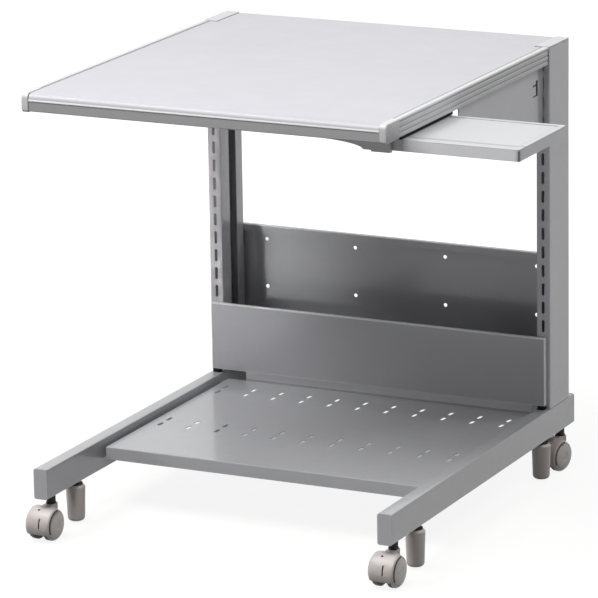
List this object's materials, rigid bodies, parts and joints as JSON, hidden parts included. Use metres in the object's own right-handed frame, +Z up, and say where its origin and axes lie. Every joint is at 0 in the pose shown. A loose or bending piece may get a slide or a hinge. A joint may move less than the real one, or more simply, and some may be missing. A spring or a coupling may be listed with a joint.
{
  "type": "computer desk",
  "caption": "Compact computer desk on casters with levelling legs, slotted steel posts, hooked-on desktop, perforated shelf and a sliding side tray for a mouse.",
  "frame": {"origin": "middle of the part's bounding box, on the floor under the wheels", "axes": "+X across the desk to the side where the tray comes out, +Y from the front to the back, +Z up"},
  "size_m": [0.8012, 0.7148, 0.7],
  "materials": {
    "silver_paint": "satin",
    "pale_laminate": "satin laminate on particle board",
    "silver_edge_plastic": "satin",
    "white_plastic": "satin",
    "pale_tray": "satin",
    "dark_grey_plastic": "matte",
    "warm_grey_plastic": "satin",
    "black_steel": "satin",
    "zinc_plate": "satin"
  },
  "bodies": {
    "frame": {"back_panel": "silver_paint", "desk_board": "pale_laminate", "front_left_bracket_screw": "zinc_plate", "front_left_caster_stem": "black_steel", "front_left_rail_cap": "silver_edge_plastic", "front_panel": "silver_paint", "front_right_bracket_screw": "zinc_plate", "front_right_caster_stem": "black_steel", "front_right_rail_cap": "silver_edge_plastic", "front_tray_runner": "silver_edge_plastic", "left_base_rail": "silver_paint", "left_corner_cap": "silver_edge_plastic", "left_desk_bracket": "silver_paint", "left_moulding": "silver_edge_plastic", "left_post": "silver_paint", "left_post_cap": "white_plastic", "rear_edge_band": "silver_edge_plastic", "rear_left_bracket_screw": "zinc_plate", "rear_left_caster_stem": "black_steel", "rear_left_rail_cap": "silver_edge_plastic", "rear_right_bracket_screw": "zinc_plate", "rear_right_caster_stem": "black_steel", "rear_right_rail_cap": "silver_edge_plastic", "rear_tray_runner": "silver_edge_plastic", "right_base_rail": "silver_paint", "right_corner_cap": "silver_edge_plastic", "right_desk_bracket": "silver_paint", "right_moulding": "silver_edge_plastic", "right_post": "silver_paint", "right_post_cap": "white_plastic", "shelf": "silver_paint"},
    "tray": {"mouse_tray": "pale_tray", "tray_slide_plate": "zinc_plate", "tray_corner_strip": "dark_grey_plastic", "front_tray_screw": "zinc_plate", "rear_tray_screw": "zinc_plate"},
    "front_left_caster": {"front_left_caster_housing": "warm_grey_plastic", "front_left_caster_axle": "zinc_plate"},
    "front_left_caster_left_wheel": {"front_left_caster_left_wheel": "warm_grey_plastic"},
    "front_left_caster_right_wheel": {"front_left_caster_right_wheel": "warm_grey_plastic"},
    "front_left_leg_stud": {"front_left_leg_stud": "black_steel"},
    "front_left_leg_foot": {"front_left_leg_foot": "warm_grey_plastic"},
    "front_right_caster": {"front_right_caster_housing": "warm_grey_plastic", "front_right_caster_axle": "zinc_plate"},
    "front_right_caster_left_wheel": {"front_right_caster_left_wheel": "warm_grey_plastic"},
    "front_right_caster_right_wheel": {"front_right_caster_right_wheel": "warm_grey_plastic"},
    "front_right_leg_stud": {"front_right_leg_stud": "black_steel"},
    "front_right_leg_foot": {"front_right_leg_foot": "warm_grey_plastic"},
    "rear_left_caster": {"rear_left_caster_housing": "warm_grey_plastic", "rear_left_caster_axle": "zinc_plate"},
    "rear_left_caster_left_wheel": {"rear_left_caster_left_wheel": "warm_grey_plastic"},
    "rear_left_caster_right_wheel": {"rear_left_caster_right_wheel": "warm_grey_plastic"},
    "rear_left_leg_stud": {"rear_left_leg_stud": "black_steel"},
    "rear_left_leg_foot": {"rear_left_leg_foot": "warm_grey_plastic"},
    "rear_right_caster": {"rear_right_caster_housing": "warm_grey_plastic", "rear_right_caster_axle": "zinc_plate"},
    "rear_right_caster_left_wheel": {"rear_right_caster_left_wheel": "warm_grey_plastic"},
    "rear_right_caster_right_wheel": {"rear_right_caster_right_wheel": "warm_grey_plastic"},
    "rear_right_leg_stud": {"rear_right_leg_stud": "black_steel"},
    "rear_right_leg_foot": {"rear_right_leg_foot": "warm_grey_plastic"}
  },
  "joints": [
    {"name": "tray_slide", "type": "slide", "parent": "frame", "child": "tray", "axis": [1, 0, 0], "range_m": [-0.182, 0]},
    {"name": "front_left_caster_swivel", "type": "hinge", "parent": "frame", "child": "front_left_caster", "pos_m": [-0.36994, -0.31106, 0.025], "axis": [0, 0, 1], "continuous": true},
    {"name": "front_left_caster_left_wheel_spin", "type": "hinge", "parent": "front_left_caster", "child": "front_left_caster_left_wheel", "pos_m": [-0.37073, -0.32905, 0.025], "axis": [0.999, -0.0436, 0], "continuous": true},
    {"name": "front_left_caster_right_wheel_spin", "type": "hinge", "parent": "front_left_caster", "child": "front_left_caster_right_wheel", "pos_m": [-0.37073, -0.32905, 0.025], "axis": [0.999, -0.0436, 0], "continuous": true},
    {"name": "front_left_leg_height", "type": "slide", "parent": "frame", "child": "front_left_leg_stud", "axis": [0, 0, 1], "range_m": [-0.006, 0.003]},
    {"name": "front_left_leg_turn", "type": "hinge", "parent": "front_left_leg_stud", "child": "front_left_leg_foot", "pos_m": [-0.36994, -0.23356, 0.03325], "axis": [0, 0, 1], "range_deg": [-1440, 720]},
    {"name": "front_right_caster_swivel", "type": "hinge", "parent": "frame", "child": "front_right_caster", "pos_m": [0.20706, -0.31106, 0.025], "axis": [0, 0, 1], "continuous": true},
    {"name": "front_right_caster_left_wheel_spin", "type": "hinge", "parent": "front_right_caster", "child": "front_right_caster_left_wheel", "pos_m": [0.20627, -0.32905, 0.025], "axis": [0.999, -0.0436, 0], "continuous": true},
    {"name": "front_right_caster_right_wheel_spin", "type": "hinge", "parent": "front_right_caster", "child": "front_right_caster_right_wheel", "pos_m": [0.20627, -0.32905, 0.025], "axis": [0.999, -0.0436, 0], "continuous": true},
    {"name": "front_right_leg_height", "type": "slide", "parent": "frame", "child": "front_right_leg_stud", "axis": [0, 0, 1], "range_m": [-0.006, 0.003]},
    {"name": "front_right_leg_turn", "type": "hinge", "parent": "front_right_leg_stud", "child": "front_right_leg_foot", "pos_m": [0.20706, -0.23356, 0.03325], "axis": [0, 0, 1], "range_deg": [-1440, 720]},
    {"name": "rear_left_caster_swivel", "type": "hinge", "parent": "frame", "child": "rear_left_caster", "pos_m": [-0.36994, 0.32594, 0.025], "axis": [0, 0, 1], "continuous": true},
    {"name": "rear_left_caster_left_wheel_spin", "type": "hinge", "parent": "rear_left_caster", "child": "rear_left_caster_left_wheel", "pos_m": [-0.37399, 0.3084, 0.025], "axis": [0.9744, -0.225, 0], "continuous": true},
    {"name": "rear_left_caster_right_wheel_spin", "type": "hinge", "parent": "rear_left_caster", "child": "rear_left_caster_right_wheel", "pos_m": [-0.37399, 0.3084, 0.025], "axis": [0.9744, -0.225, 0], "continuous": true},
    {"name": "rear_left_leg_height", "type": "slide", "parent": "frame", "child": "rear_left_leg_stud", "axis": [0, 0, 1], "range_m": [-0.006, 0.003]},
    {"name": "rear_left_leg_turn", "type": "hinge", "parent": "rear_left_leg_stud", "child": "rear_left_leg_foot", "pos_m": [-0.36994, 0.24844, 0.03325], "axis": [0, 0, 1], "range_deg": [-1440, 720]},
    {"name": "rear_right_caster_swivel", "type": "hinge", "parent": "frame", "child": "rear_right_caster", "pos_m": [0.20706, 0.32594, 0.025], "axis": [0, 0, 1], "continuous": true},
    {"name": "rear_right_caster_left_wheel_spin", "type": "hinge", "parent": "rear_right_caster", "child": "rear_right_caster_left_wheel", "pos_m": [0.20301, 0.3084, 0.025], "axis": [0.9744, -0.225, 0], "continuous": true},
    {"name": "rear_right_caster_right_wheel_spin", "type": "hinge", "parent": "rear_right_caster", "child": "rear_right_caster_right_wheel", "pos_m": [0.20301, 0.3084, 0.025], "axis": [0.9744, -0.225, 0], "continuous": true},
    {"name": "rear_right_leg_height", "type": "slide", "parent": "frame", "child": "rear_right_leg_stud", "axis": [0, 0, 1], "range_m": [-0.006, 0.003]},
    {"name": "rear_right_leg_turn", "type": "hinge", "parent": "rear_right_leg_stud", "child": "rear_right_leg_foot", "pos_m": [0.20706, 0.24844, 0.03325], "axis": [0, 0, 1], "range_deg": [-1440, 720]}
  ],
  "couplings": [
    {"joint": "front_left_leg_turn", "follows": "front_left_leg_height", "rad_per_m": 4188.8},
    {"joint": "front_right_leg_turn", "follows": "front_right_leg_height", "rad_per_m": 4188.8},
    {"joint": "rear_left_leg_turn", "follows": "rear_left_leg_height", "rad_per_m": 4188.8},
    {"joint": "rear_right_leg_turn", "follows": "rear_right_leg_height", "rad_per_m": 4188.8}
  ]
}
